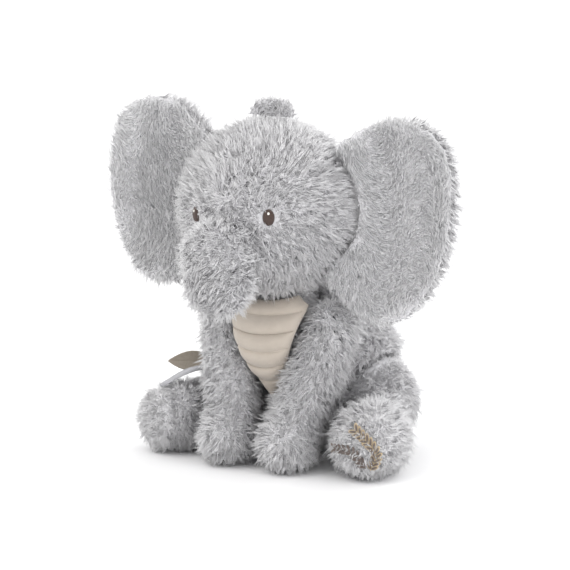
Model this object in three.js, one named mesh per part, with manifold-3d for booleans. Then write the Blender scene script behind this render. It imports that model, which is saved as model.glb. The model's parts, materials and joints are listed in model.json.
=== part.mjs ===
// A stuffed elephant sitting up like a dog: plush covers over fibre stuffing, with sewn joints.
// Millimetres, +Z up. The elephant faces -Y and its left side is +X. The origin is the middle of
// the flat seat under the torso.
import * as THREE from 'three';
import { mergeVertices } from 'three/addons/utils/BufferGeometryUtils.js';
import Module from 'manifold-3d';

const wasm = await Module();
wasm.setup();

// ---- Driving dimensions ----------------------------------------------------------------------

// Layers of cloth and the room between pieces
const PLUSH = 6; // backing cloth with its standing pile
const VELBOA = 2.4; // smooth short pile cloth on the ear fronts
const EAR_WADDING = 2.8; // flat wadding inside an ear
const OPENING = 8; // radius of the hole that a limb is stuffed through
const FIT = 0.3; // gap between pieces that touch
const PLAY = 1; // gap between pieces that move past each other

// Torso
const TORSO_HALF = [66, 58, 56]; // half width, depth and height of the lower body
const SEAT_SINK = 5; // how much of the lower body is pressed flat by sitting
const CHEST_HALF = [44, 42, 38];
const CHEST_AT = [0, -36, 88];

// Head
const HEAD_HALF = [61, 58, 59];
const HEAD_AT = [0, -64, 168];
const NECK_AT = [0, -42, 97]; // the head turns and nods about this point
const NECK_BALL = 30; // round top of the torso inside the neck
const NECK_PAD = 3; // thickness of the wadding cap between head and torso
const NECK_PAD_FROM = 8; // where the cap starts above the middle of the neck
const HEAD_TURN = 15; // degrees each way
const HEAD_NOD = 8;

// Trunk
const TRUNK_PIVOT = [0, -107, 146];
const TRUNK_ROOT = 21;
const TRUNK_MID = 20.5;
const TRUNK_MID_FROM_PIVOT = [0, -20, -5];
const TRUNK_TIP = 19;
const TRUNK_TIP_FROM_PIVOT = [0, -18, -22];
const TRUNK_UP = 15;
const TRUNK_DOWN = 12;

// Ears
const EAR_LENGTH = 76; // from the root out to the edge
const EAR_HEIGHT = 126;
const EAR_CUP = 9; // how far the middle of the ear is hollowed back
const EAR_ROOT_AT = [54, -61, 168];
const EAR_TUCK = 16; // how far the ear reaches in over the side of the head
const EAR_SWEEP = 3; // degrees that an ear points backwards
const EAR_FLAP = 22;
const LEFT_EAR_DROOP = 5; // degrees
const RIGHT_EAR_RAISE = 4;
const RIGHT_EAR_LIFT = 5;

// Eyes
const EYE_SIZE = [7.5, 10.5];
const EYE_THICK = 1.4;
const EYE_OUT = 29; // from the middle of the face
const EYE_HEIGHT = 165;
const EYE_DEPTH = 3; // how far the pile stands above the eye
const EYE_MARGIN = 1.5; // bare cloth round the eye
const HIGHLIGHT = [2.2, 0.6]; // width and thickness

// Front legs
const CHEST_STRIP = 19; // half width of the chest that shows between the shoulders
const SHOULDER = 20;
const SHOULDER_BACK = 32; // how far forward the back of the shoulder is
const SHOULDER_AT = [CHEST_STRIP + PLAY + SHOULDER, -SHOULDER_BACK - SHOULDER, 91];
const ANKLES_APART = 4.5; // half the gap between the ankles
const ANKLE = 19;
const ANKLE_AT = [ANKLES_APART + ANKLE, -72, 32];
const FEET_APART = 1.8; // half the gap between the front feet
const FRONT_FOOT_HALF = [20.5, 26, 21];
const FRONT_FOOT_AT = [FEET_APART + FRONT_FOOT_HALF[0], -79, FRONT_FOOT_HALF[2] - 2];
const HEEL = 2; // how far the heel stands back from the line of the leg
const FRONT_SWING_UP = 25;

// Hind legs
const HIP_AT = [50, -6, 37];
const HIP_HALF_WIDTH = 28;
const HIP = 32;
const SHANK = 20;
const SHANK_SHIFT = 6; // how far outside the hip's middle the shank starts
const HIND_FOOT_HALF = [25.5, 32, 26];
const HIND_FOOT_AT = [72, -60, 23];
const HIND_SWING_UP = 8;
const HIND_SWING_DOWN = 40;
const SOLE_TURN_OUT = 22; // degrees that a sole looks outwards
const SOLE_HALF = [20, 18]; // half width and height of the sewn-in panel
const SOLE_THICK = 3;
const STITCH_THICK = 0.8; // how far the embroidery stands above the sole

// Trims
const BIB_HALF_WIDTH = 31;
const BIB_TOP = 103;
const BIB_TIP = 48;
const BIB_INSET = 1.5; // how far the bib lies below the pile
const TUFT_SIZE = [27, 6, 16]; // width, thickness and height
const TUFT_AT = [0, -62, 227];
const TUFT_LEAN = 7; // degrees that it slants down to the left
const TUFT_FLOP = 20;
const LEAF_LENGTH = 33;
const LEAF_WIDTH = 15;
const LEAF_THICK = 2;
const TAN_LEAF_AT = [-61, -38, 58];
const GREY_LEAF_AT = [-59, -50, 54.5];
const TAIL_ROOT_AT = [0, 58, 34];
const TAIL_LENGTH = 38;
const TAIL = 5;
const POUCH_HALF = [30, 27, 13];

// ---- Solids ----------------------------------------------------------------------------------

const RAD = Math.PI / 180;
const mirror = (side, [x, y, z]) => [side * x, y, z];
const plus = ([a, b, c], [x, y, z]) => [a + x, b + y, c + z];

// A closed three.js geometry as a solid that can be joined and cut.
function solid(geometry) {
  const bare = geometry.clone();
  bare.deleteAttribute('normal');
  bare.deleteAttribute('uv');
  const merged = mergeVertices(bare, 1e-4);
  return new wasm.Manifold(new wasm.Mesh({
    numProp: 3,
    vertProperties: new Float32Array(merged.attributes.position.array),
    triVerts: new Uint32Array(merged.index.array),
  }));
}

function join(...solids) {
  return solids.reduce((all, one) => all.add(one));
}

// An ellipsoid with its poles on the X axis, so that it turns evenly about a sideways hinge.
function ball(at, half, around = 16) {
  const sphere = new THREE.SphereGeometry(1, around, Math.round(around * 0.6));
  sphere.rotateZ(Math.PI / 2);
  sphere.scale(...half);
  sphere.translate(...at);
  return solid(sphere);
}

// Two balls and the cone that touches both.
function roundCone(from, fromRadius, to, toRadius, around = 12) {
  const start = new THREE.Vector3(...from);
  const axis = new THREE.Vector3(...to).sub(start);
  const length = axis.length();
  const lean = Math.asin((fromRadius - toRadius) / length);
  const points = [];
  for (let i = 0; i <= 4; i += 1) {
    const a = -Math.PI / 2 + ((Math.PI / 2 + lean) * i) / 4;
    points.push(new THREE.Vector2(fromRadius * Math.cos(a), fromRadius * Math.sin(a)));
  }
  for (let i = 0; i <= 4; i += 1) {
    const a = lean + ((Math.PI / 2 - lean) * i) / 4;
    points.push(new THREE.Vector2(toRadius * Math.cos(a), length + toRadius * Math.sin(a)));
  }
  points[0].x = 0;
  points[points.length - 1].x = 0;
  const cone = new THREE.LatheGeometry(points, around);
  const up = new THREE.Vector3(0, 1, 0);
  cone.applyQuaternion(new THREE.Quaternion().setFromUnitVectors(up, axis.normalize()));
  cone.translate(...from);
  return solid(cone);
}

function cylinder(from, to, radius, around = 20) {
  const start = new THREE.Vector3(...from);
  const axis = new THREE.Vector3(...to).sub(start);
  const tube = new THREE.CylinderGeometry(radius, radius, axis.length(), around);
  tube.translate(0, axis.length() / 2, 0);
  const up = new THREE.Vector3(0, 1, 0);
  tube.applyQuaternion(new THREE.Quaternion().setFromUnitVectors(up, axis.normalize()));
  tube.translate(...from);
  return solid(tube);
}

// Everything above a level, to press a solid flat there.
function above(level) {
  const room = new THREE.BoxGeometry(600, 600, 600);
  room.translate(0, 0, 300 + level);
  return solid(room);
}

// A solid turned about a line through a point, angle in degrees.
function turned(shape, pivot, axis, degrees) {
  const [x, y, z] = pivot;
  const turn = new THREE.Matrix4().makeTranslation(x, y, z);
  turn.multiply(new THREE.Matrix4().makeRotationAxis(new THREE.Vector3(...axis), degrees * RAD));
  turn.multiply(new THREE.Matrix4().makeTranslation(-x, -y, -z));
  return shape.transform(turn.elements);
}

// A turned solid about the X axis, its outline given as [radius, x] from one end to the other.
function wheel(at, outline, side = 1, around = 20) {
  const points = outline.map(([r, x]) => new THREE.Vector2(r, side * x));
  if (side < 0) {
    points.reverse();
  }
  const lathe = new THREE.LatheGeometry(points, around);
  lathe.rotateZ(-Math.PI / 2);
  lathe.translate(0, at[1], at[2]);
  return solid(lathe);
}

// Everything under a flat that lies a distance above a point and is tipped about the X axis.
function under(at, distance, degrees) {
  const room = new THREE.BoxGeometry(400, 400, 400);
  room.translate(0, 0, distance - 200);
  room.rotateX(degrees * RAD);
  room.translate(...at);
  return solid(room);
}

// A solid from a geometry, mirrored for the right side.
function sided(geometry, side) {
  if (side > 0) {
    return solid(geometry);
  }
  geometry.scale(-1, 1, 1);
  const { array } = geometry.index;
  for (let i = 0; i < array.length; i += 3) {
    [array[i], array[i + 1]] = [array[i + 1], array[i]];
  }
  return solid(geometry);
}

// The room that a solid passes through while it turns from one angle to another.
function sweep(shape, pivot, axis, from, to, step = 8) {
  const steps = Math.max(1, Math.ceil((to - from) / step));
  const places = [];
  for (let i = 0; i <= steps; i += 1) {
    places.push(turned(shape, pivot, axis, from + ((to - from) * i) / steps));
  }
  return join(...places);
}

const SIDEWAYS = [1, 0, 0];
const UPRIGHT = [0, 0, 1];

// ---- Shapes, each grown or shrunk by a distance ----------------------------------------------

const bigger = (half, by) => half.map((r) => r + by);

function headShape(by = 0) {
  return ball(HEAD_AT, bigger(HEAD_HALF, by), 22);
}

function trunkShape(by = 0) {
  const mid = plus(TRUNK_PIVOT, TRUNK_MID_FROM_PIVOT);
  const tip = plus(TRUNK_PIVOT, TRUNK_TIP_FROM_PIVOT);
  return join(
    ball(TRUNK_PIVOT, bigger([TRUNK_ROOT, TRUNK_ROOT, TRUNK_ROOT], by)),
    roundCone(mid, TRUNK_MID + by, tip, TRUNK_TIP + by),
  );
}

function frontLegShape(side, by = 0) {
  const ankle = mirror(side, ANKLE_AT);
  return join(
    roundCone(mirror(side, SHOULDER_AT), SHOULDER + by, ankle, ANKLE + by),
    ball(mirror(side, FRONT_FOOT_AT), bigger(FRONT_FOOT_HALF, by)),
  );
}

function hindLegShape(side, by = 0) {
  const hip = mirror(side, HIP_AT);
  const foot = mirror(side, HIND_FOOT_AT);
  return join(
    ball(hip, bigger([HIP_HALF_WIDTH, HIP, HIP], by)),
    roundCone(plus(hip, [side * SHANK_SHIFT, 0, 0]), SHANK + by, foot, SHANK + by),
    ball(foot, bigger(HIND_FOOT_HALF, by)),
  );
}

function torsoShape(by = 0) {
  const middle = [0, 0, TORSO_HALF[2] - SEAT_SINK];
  const body = join(
    ball(middle, bigger(TORSO_HALF, by), 22),
    ball(CHEST_AT, bigger(CHEST_HALF, by), 18),
  );
  return body.subtract(headRoom(-by)).add(ball(NECK_AT, bigger([NECK_BALL, NECK_BALL, NECK_BALL], by)));
}

// The room that the head needs under it to turn and nod about the neck.
function headRoom(by = 0) {
  const [, y, z] = HEAD_AT.map((v, i) => v - NECK_AT[i]);
  const side = Math.abs(y) * Math.sin(HEAD_TURN * RAD);
  const fore = z * Math.sin(HEAD_NOD * RAD);
  const down = Math.abs(y) * Math.sin(HEAD_NOD * RAD);
  return ball(HEAD_AT, bigger(HEAD_HALF, by + PLAY).map((r, i) => r + [side, fore, down][i]), 22);
}

// ---- Pieces ----------------------------------------------------------------------------------

const elephant = new THREE.Group();
elephant.name = 'stuffed_elephant';

const finish = (color, roughness = 0.95) => ({ color, roughness, metalness: 0 });
const FUR = finish(0xb9b8bb);
const SMOOTH = finish(0xb6b7bc, 0.85);
const FIBRE = finish(0xf2f1ec);
const PELLETS = finish(0xd9d4c8, 0.7);
const BIB = finish(0xbeb4a8, 0.9);
const DARK_THREAD = finish(0x50423e, 0.6);
const WHITE_THREAD = finish(0xf4f1ea, 0.6);
const TAN_THREAD = finish(0xbeac8c, 0.6);
const TAN_FELT = finish(0x9e9486);
const GREY_VELOUR = finish(0xb2b2b5, 0.85);

function place(name, shape, look) {
  const { vertProperties, triVerts, numProp } = shape.getMesh();
  const geometry = new THREE.BufferGeometry();
  const points = new Float32Array((vertProperties.length / numProp) * 3);
  for (let i = 0; i < points.length / 3; i += 1) {
    points.set(vertProperties.subarray(i * numProp, i * numProp + 3), i * 3);
  }
  geometry.setAttribute('position', new THREE.BufferAttribute(points, 3));
  geometry.setIndex(new THREE.BufferAttribute(triVerts, 1));
  geometry.computeVertexNormals();
  const mesh = new THREE.Mesh(geometry, new THREE.MeshStandardMaterial(look));
  mesh.name = name;
  elephant.add(mesh);
}

// A plush cover with an opening, and the stuffing inside it.
function stuffed(name, shape, opening, trim = (one) => one, base = 0) {
  const outer = shape(0).intersect(above(base));
  const inner = shape(-PLUSH).intersect(above(base + PLUSH));
  place(`${name}_cover`, trim(outer.subtract(inner).subtract(opening)), FUR);
  const core = shape(-PLUSH - FIT).intersect(above(base + PLUSH + FIT));
  place(`${name}_stuffing`, trim(core), FIBRE);
}

// How far a point lies from a hinge along X, and how far it leans forward from straight down.
const reach = (from, to) => Math.hypot(to[1] - from[1], to[2] - from[2]);
const lean = (from, to) => Math.atan2(from[1] - to[1], from[2] - to[2]) / RAD;

// The room that a front leg needs in the torso for its whole swing.
function frontLegRoom(side) {
  const far = reach(SHOULDER_AT, ANKLE_AT);
  const [top] = SHOULDER_AT;
  const [low] = ANKLE_AT;
  const thick = (SHOULDER + PLAY) * Math.hypot(1, (top - low) / far);
  const swing = wheel(SHOULDER_AT, [
    [0, top - thick], [far, low - thick], [2 * far, low - thick],
    [2 * far, low + thick], [far, low + thick], [0, top + thick],
  ], side);
  const hang = lean(SHOULDER_AT, ANKLE_AT);
  return swing
    .intersect(under(SHOULDER_AT, thick + HEEL, -90 - hang))
    .intersect(under(SHOULDER_AT, thick, 90 - hang - FRONT_SWING_UP))
    .add(ball(mirror(side, SHOULDER_AT), [thick, thick, thick]));
}

// The same for a hind leg.
function hindLegRoom(side) {
  const [hipX] = HIP_AT;
  const [footX] = HIND_FOOT_AT;
  const [wide, , high] = bigger(HIND_FOOT_HALF, PLAY);
  const far = reach(HIP_AT, HIND_FOOT_AT);
  const swing = wheel(HIP_AT, [
    [0, hipX + SHANK_SHIFT - SHANK - PLAY], [far, footX - wide], [far + high * 0.6, footX - wide * 0.8],
    [far + high, footX], [far + high, 2 * footX], [0, 2 * footX],
  ], side);
  const hang = lean(HIP_AT, HIND_FOOT_AT);
  return swing
    .intersect(under(HIP_AT, high, 90 - hang - HIND_SWING_UP))
    .intersect(under(HIP_AT, high, -90 - hang + HIND_SWING_DOWN))
    .add(ball(mirror(side, HIP_AT), bigger([HIP_HALF_WIDTH, HIP, HIP], PLAY)));
}

const LEG_ROOM = [1, -1].map((side) => frontLegRoom(side).add(hindLegRoom(side)));

const tailTip = plus(TAIL_ROOT_AT, [0, TAIL_LENGTH * 0.55, -TAIL_LENGTH * 0.72]);
const tailShape = (by = 0) => roundCone(TAIL_ROOT_AT, TAIL + by, tailTip, TAIL * 0.8 + by, 12);

// The bib's outline from the front, as a prism that passes through the chest.
function bibPrism(by = 0) {
  const half = BIB_HALF_WIDTH + by;
  const waist = BIB_TIP + (BIB_TOP - BIB_TIP) * 0.35;
  const outline = new THREE.Shape();
  outline.moveTo(-half, BIB_TOP + by);
  outline.quadraticCurveTo(-half, waist, 0, BIB_TIP - by);
  outline.quadraticCurveTo(half, waist, half, BIB_TOP + by);
  const prism = new THREE.ExtrudeGeometry(outline, {
    depth: 90, bevelEnabled: false, curveSegments: 6,
  });
  prism.rotateX(Math.PI / 2);
  prism.translate(0, -46, 0);
  return solid(prism);
}

function makeTorso() {
  const pouchAt = [0, 4, PLUSH + FIT + POUCH_HALF[2] * 0.7];
  const pouch = (by) => ball(pouchAt, bigger(POUCH_HALF, by), 16);
  const tailRoom = ball(TAIL_ROOT_AT, bigger([TAIL, TAIL, TAIL], PLAY), 12);
  const room = join(...LEG_ROOM, tailRoom);
  const outer = torsoShape(0).intersect(above(0));
  const inner = torsoShape(-PLUSH).intersect(above(PLUSH));
  const bib = torsoShape(-BIB_INSET).subtract(torsoShape(-PLUSH)).intersect(bibPrism());
  const core = torsoShape(-PLUSH - FIT).intersect(above(PLUSH + FIT));
  place('torso_cover', outer.subtract(inner).subtract(bibPrism(FIT)).subtract(room), FUR);
  place('bib_panel', bib.subtract(room), BIB);
  place('torso_stuffing', core.subtract(pouch(FIT)).subtract(room), FIBRE);
  place('pellet_pouch', pouch(0).intersect(core).subtract(room), PELLETS);
  place('tail', tailShape().intersect(above(0)), FUR);
}

// Where the head's surface is, straight in front of a point, and which way it faces there.
function onFace(x, z) {
  const [a, b, c] = HEAD_HALF;
  const [, y0, z0] = HEAD_AT;
  const drop = Math.sqrt(1 - (x / a) ** 2 - ((z - z0) / c) ** 2);
  const at = new THREE.Vector3(x, y0 - b * drop, z);
  const out = new THREE.Vector3(x / a ** 2, -drop / b, (z - z0) / c ** 2).normalize();
  return { at, out };
}

// An oval disc that lies a depth below the face, with its own thickness.
function ovalOnFace(side, lift, size, depth, thick) {
  const { at, out } = onFace(side * EYE_OUT, EYE_HEIGHT);
  const across = new THREE.Vector3(0, 0, 1).cross(out).negate().normalize();
  const up = new THREE.Vector3().crossVectors(across, out).normalize();
  const disc = new THREE.CylinderGeometry(1, 1, thick, 20);
  disc.scale(size[0] / 2, 1, size[1] / 2);
  disc.translate(0, -depth - thick / 2, 0);
  disc.applyMatrix4(new THREE.Matrix4().makeBasis(across, out, up));
  disc.translate(at.x + up.x * lift, at.y + up.y * lift, at.z + up.z * lift);
  return solid(disc);
}

// The trunk's room in the face for its whole curl.
function trunkRoom() {
  const along = (from, radius) => {
    const r = radius + PLAY;
    return sweep(ball(plus(TRUNK_PIVOT, from), [r, r, r]), TRUNK_PIVOT, SIDEWAYS, -TRUNK_UP, TRUNK_DOWN, 14);
  };
  const root = TRUNK_ROOT + PLAY;
  return join(
    ball(TRUNK_PIVOT, [root, root, root]),
    along(TRUNK_MID_FROM_PIVOT, TRUNK_MID),
    along(TRUNK_TIP_FROM_PIVOT, TRUNK_TIP),
  );
}

function makeHead() {
  const socket = NECK_BALL + NECK_PAD + 2 * PLAY;
  const room = ball(NECK_AT, [socket, socket, socket], 18).add(trunkRoom());
  let cover = headShape().subtract(headShape(-PLUSH)).subtract(room);
  for (const [name, side] of [['left', 1], ['right', -1]]) {
    const well = EYE_DEPTH + EYE_THICK + FIT + PLUSH;
    const wide = EYE_SIZE.map((d) => d + 2 * EYE_MARGIN);
    cover = cover.subtract(ovalOnFace(side, 0, wide, -PLUSH, well));
    place(`${name}_eye`, ovalOnFace(side, 0, EYE_SIZE, EYE_DEPTH, EYE_THICK), DARK_THREAD);
    const glint = EYE_DEPTH - FIT - HIGHLIGHT[1];
    const dot = [HIGHLIGHT[0], HIGHLIGHT[0]];
    const lift = EYE_SIZE[1] * 0.24;
    place(`${name}_eye_highlight`, ovalOnFace(side, lift, dot, glint, HIGHLIGHT[1]), WHITE_THREAD);
  }
  place('head_cover', cover, FUR);
  place('head_stuffing', headShape(-PLUSH - FIT).subtract(room), FIBRE);

  const padOut = NECK_BALL + PLAY + NECK_PAD;
  const padIn = NECK_BALL + PLAY;
  const collar = ball(NECK_AT, [padOut, padOut, padOut], 18)
    .subtract(ball(NECK_AT, [padIn, padIn, padIn], 18))
    .intersect(above(NECK_AT[2] + NECK_PAD_FROM))
    .intersect(headShape(-2));
  place('neck_pad', collar, FIBRE);

  const mid = plus(TRUNK_PIVOT, [0, 30, 0]);
  stuffed('trunk', trunkShape, cylinder(TRUNK_PIVOT, mid, OPENING));
}

// The ear's outline from the front, out from the root and up, measured from the root.
function earOutline(count) {
  const l = EAR_LENGTH;
  const h = EAR_HEIGHT;
  const shape = new THREE.Shape();
  shape.moveTo(-EAR_TUCK, 0.3 * h);
  shape.bezierCurveTo(0.04 * l, 0.45 * h, 0.22 * l, 0.5 * h, 0.46 * l, 0.5 * h);
  shape.bezierCurveTo(0.84 * l, 0.5 * h, l, 0.38 * h, l, 0.06 * h);
  shape.bezierCurveTo(l, -0.22 * h, 0.7 * l, -0.5 * h, 0.36 * l, -0.5 * h);
  shape.bezierCurveTo(0.14 * l, -0.5 * h, 0.02 * l, -0.42 * h, -EAR_TUCK * 0.6, -0.3 * h);
  shape.closePath();
  return shape.getSpacedPoints(count);
}

// One layer of an ear: a dished sheet between two depths, out to a share of the outline.
function earLayer(side, front, back, share) {
  const rings = [0, 0.4, 0.68, 0.88, 0.94, 1].filter((r) => r <= share);
  const thick = back - front;
  const profile = rings.map((r) => new THREE.Vector2(r, front));
  profile.push(...rings.map((r) => new THREE.Vector2(r, back)).reverse());
  profile[rings.length - 1].y += thick * 0.3;
  profile[rings.length].y -= thick * 0.3;
  const around = 22;
  const outline = earOutline(around);
  const sheet = new THREE.LatheGeometry(profile, around);
  const place3 = sheet.attributes.position;
  const middle = new THREE.Vector2(EAR_LENGTH * 0.4, 0);
  for (let i = 0; i < place3.count; i += 1) {
    const j = i % profile.length;
    const edge = outline[Math.floor(i / profile.length) % around];
    const { x: r, y: depth } = profile[j];
    const u = middle.x + (edge.x - middle.x) * r;
    const w = middle.y + (edge.y - middle.y) * r;
    place3.setXYZ(i, u, EAR_CUP * (1 - r * r) - EAR_CUP / 2 + depth, w);
  }
  const [x, y, z] = EAR_ROOT_AT;
  sheet.rotateY((side > 0 ? LEFT_EAR_DROOP : -RIGHT_EAR_RAISE) * RAD);
  sheet.rotateZ(EAR_SWEEP * RAD);
  sheet.translate(x, y, z + (side > 0 ? 0 : RIGHT_EAR_LIFT));
  return sheet;
}

function makeEar(name, side) {
  const hinge = mirror(side, EAR_ROOT_AT);
  const head = sweep(headShape(PLAY), hinge, UPRIGHT, -EAR_FLAP, EAR_FLAP, EAR_FLAP);
  const half = EAR_WADDING / 2;
  const layers = [
    ['front', -half - FIT - VELBOA, -half - FIT, 0.94, SMOOTH],
    ['wadding', -half, half, 0.88, FIBRE],
    ['back', half + FIT, half + FIT + PLUSH, 1, FUR],
  ];
  for (const [layer, front, back, share, look] of layers) {
    const sheet = sided(earLayer(side, front, back, share), side);
    place(`${name}_ear_${layer}`, sheet.subtract(head), look);
  }
}

// A flap of plush that stands on the crown.
function makeTuft() {
  const [wide, thick, high] = TUFT_SIZE;
  const outline = new THREE.Shape();
  outline.moveTo(-wide / 2, 0);
  outline.quadraticCurveTo(-wide / 2, high, 0, high);
  outline.quadraticCurveTo(wide / 2, high, wide / 2, 0);
  outline.closePath();
  const flap = new THREE.ExtrudeGeometry(outline, {
    depth: thick, bevelEnabled: false, curveSegments: 8,
  });
  flap.translate(0, 0, -thick / 2);
  flap.rotateX(Math.PI / 2);
  flap.rotateY(TUFT_LEAN * RAD);
  flap.translate(...TUFT_AT);
  const crown = sweep(headShape(FIT), TUFT_AT, SIDEWAYS, -TUFT_FLOP, TUFT_FLOP, TUFT_FLOP);
  place('head_tuft', solid(flap).subtract(crown), FUR);
}

function makeFrontLeg(name, side) {
  const shoulder = mirror(side, SHOULDER_AT);
  const opening = cylinder(shoulder, plus(shoulder, [0, 40, 0]), OPENING);
  stuffed(name, (by) => frontLegShape(side, by), opening);
}

// A stem with leaves on both sides, drawn on the sole as a chain of small lozenges.
function sprigPrism(side, from, through, to, leaves, leafLength) {
  const stem = new THREE.QuadraticBezierCurve(
    new THREE.Vector2(...from), new THREE.Vector2(...through), new THREE.Vector2(...to),
  );
  const outline = new THREE.Shape();
  const left = [];
  const right = [];
  for (let i = 0; i <= 2 * leaves; i += 1) {
    const t = i / (2 * leaves);
    const out = (i % 2 ? leafLength : leafLength * 0.45) * Math.min(1, 1.6 * (1 - t) + 0.25);
    const at = stem.getPoint(t);
    const along = stem.getTangent(t);
    left.push([at.x - along.y * out, at.y + along.x * out]);
    right.unshift([at.x + along.y * out, at.y - along.x * out]);
  }
  const points = [...left, ...right];
  outline.moveTo(...points[0]);
  points.slice(1).forEach((point) => outline.lineTo(...point));
  outline.closePath();
  return onSole(new THREE.ExtrudeGeometry(outline, { depth: 60, bevelEnabled: false }), side);
}

// Moves a prism that was drawn on a flat onto the sole, where it looks outwards.
function onSole(prism, side) {
  const [x, y, z] = HIND_FOOT_AT;
  prism.rotateX(Math.PI / 2);
  prism.rotateZ(SOLE_TURN_OUT * RAD);
  prism.translate(x, y, z);
  return sided(prism, side);
}

function makeHindLeg(name, side) {
  const hip = mirror(side, HIP_AT);
  const foot = (by) => ball(mirror(side, HIND_FOOT_AT), bigger(HIND_FOOT_HALF, by));
  const panel = (by) => {
    const disc = new THREE.CylinderGeometry(1, 1, 60, 28);
    disc.rotateX(Math.PI / 2);
    disc.translate(0, 0, 30);
    disc.scale(SOLE_HALF[0] + by, SOLE_HALF[1] + by, 1);
    return onSole(disc, side);
  };
  const opening = cylinder(hip, plus(hip, [-side * 40, 0, 0]), OPENING);
  const recess = panel(FIT).subtract(foot(-SOLE_THICK - FIT));
  stuffed(name, (by) => hindLegShape(side, by), opening.add(recess));
  place(`${name}_sole`, panel(0).intersect(foot(0).subtract(foot(-SOLE_THICK))), FUR);
  if (side > 0) {
    const raised = foot(FIT + STITCH_THICK).subtract(foot(FIT));
    const dark = sprigPrism(side, [-19, -1], [-7, 1], [-2, -12], 5, 3);
    const tan = sprigPrism(side, [-6, 12], [9, 2], [3, -14], 6, 3.4);
    place('sole_dark_sprig', raised.intersect(dark), DARK_THREAD);
    place('sole_tan_sprig', raised.intersect(tan), TAN_THREAD);
  }
}

// A pointed leaf of thin cloth from its root along a direction, its flat side turned up by an angle.
function makeLeaf(name, at, heading, fall, face, look) {
  const half = LEAF_WIDTH / 2;
  const outline = new THREE.Shape();
  outline.moveTo(0, -half * 0.3);
  outline.quadraticCurveTo(LEAF_LENGTH * 0.45, -half * 1.8, LEAF_LENGTH, 0);
  outline.quadraticCurveTo(LEAF_LENGTH * 0.45, half * 1.8, 0, half * 0.3);
  outline.closePath();
  const leaf = new THREE.ExtrudeGeometry(outline, {
    depth: LEAF_THICK, bevelEnabled: false, curveSegments: 8,
  });
  leaf.rotateX(face * RAD);
  leaf.rotateY(fall * RAD);
  leaf.rotateZ(heading * RAD);
  leaf.translate(...at);
  place(name, solid(leaf), look);
}

makeTorso();
makeHead();
makeTuft();
for (const [name, side] of [['left', 1], ['right', -1]]) {
  makeEar(name, side);
  makeFrontLeg(`${name}_front_leg`, side);
  makeHindLeg(`${name}_hind_leg`, side);
}
makeLeaf('tan_leaf', TAN_LEAF_AT, -157, 0, 115, TAN_FELT);
makeLeaf('grey_leaf', GREY_LEAF_AT, -135, 8, 20, GREY_VELOUR);

export default elephant;
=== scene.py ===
# %% [markdown]
# # A plush elephant
# This notebook dresses the elephant's measured parts in plush. The frame gives every sewn part at
# its real size and place. Each part gets a soft skin, and the skins that are pile fabric get curly
# pile made of separate locks. All lengths are metres, Z is up, and the elephant looks along -Y.

# %% Load the frame
import json
import math

import bmesh
import bpy
import numpy as np
from mathutils import Matrix, Vector
from mathutils.bvhtree import BVHTree


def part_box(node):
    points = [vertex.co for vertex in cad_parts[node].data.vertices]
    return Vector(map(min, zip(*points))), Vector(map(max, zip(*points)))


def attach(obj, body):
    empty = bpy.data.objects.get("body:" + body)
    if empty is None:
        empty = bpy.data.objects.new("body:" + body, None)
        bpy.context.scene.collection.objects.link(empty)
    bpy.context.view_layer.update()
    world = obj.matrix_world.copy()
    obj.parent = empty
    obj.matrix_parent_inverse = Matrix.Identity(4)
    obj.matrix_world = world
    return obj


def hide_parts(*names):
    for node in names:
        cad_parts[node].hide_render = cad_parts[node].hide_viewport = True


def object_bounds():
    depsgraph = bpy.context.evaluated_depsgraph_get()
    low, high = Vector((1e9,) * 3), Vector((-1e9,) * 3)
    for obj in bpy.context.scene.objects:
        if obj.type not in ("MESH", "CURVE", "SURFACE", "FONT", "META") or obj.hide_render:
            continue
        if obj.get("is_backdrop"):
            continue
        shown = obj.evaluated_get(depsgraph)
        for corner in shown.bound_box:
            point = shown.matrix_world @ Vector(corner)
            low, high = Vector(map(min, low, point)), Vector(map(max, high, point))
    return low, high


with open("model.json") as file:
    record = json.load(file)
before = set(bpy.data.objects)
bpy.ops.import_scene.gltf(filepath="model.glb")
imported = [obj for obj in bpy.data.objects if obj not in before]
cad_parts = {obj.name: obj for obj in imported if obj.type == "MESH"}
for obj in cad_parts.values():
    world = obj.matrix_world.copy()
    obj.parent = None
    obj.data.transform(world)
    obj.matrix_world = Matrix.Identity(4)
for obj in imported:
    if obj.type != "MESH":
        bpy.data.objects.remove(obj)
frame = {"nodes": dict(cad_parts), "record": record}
cad_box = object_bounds()
nodes = frame["nodes"]
MM = 0.001
print("the frame has", len(nodes), "parts")

# %% [markdown]
# ## The camera and the studio
# A toy is lit with big soft lights, so that the pile shows its relief without hard shadows. The
# camera stands well back with a long lens, which keeps the proportions calm. The floor runs up into
# a wall in one curve, so no horizon line shows behind the toy.

# %% Camera
target = Vector((0, -38, 120)) * MM
turn, rise, distance = math.radians(30), math.radians(6.5), 0.95
back = Vector((math.sin(turn) * math.cos(rise), -math.cos(turn) * math.cos(rise), math.sin(rise)))
camera_data = bpy.data.cameras.new("camera")
camera_data.lens, camera_data.sensor_width = 90, 36
camera_data.shift_x, camera_data.shift_y = -0.0088, -0.0132
camera_data.clip_start, camera_data.clip_end = 0.01, 50
camera = bpy.data.objects.new("camera", camera_data)
camera.location = target + back * distance
camera.rotation_euler = (-back).to_track_quat("-Z", "Y").to_euler()
bpy.context.scene.collection.objects.link(camera)
bpy.context.scene.camera = camera
print("camera stands at", [round(v, 3) for v in camera.location])


# %% Building helpers
def mesh_object(name, points, faces):
    """A mesh object at the origin, with outward faces."""
    data = bpy.data.meshes.new(name)
    data.from_pydata([tuple(p) for p in points], [], faces)
    made = bmesh.new()
    made.from_mesh(data)
    bmesh.ops.remove_doubles(made, verts=made.verts, dist=1e-7)
    bmesh.ops.recalc_face_normals(made, faces=made.faces)
    made.to_mesh(data)
    made.free()
    data.shade_smooth()
    thing = bpy.data.objects.new(name, data)
    bpy.context.scene.collection.objects.link(thing)
    return thing


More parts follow.
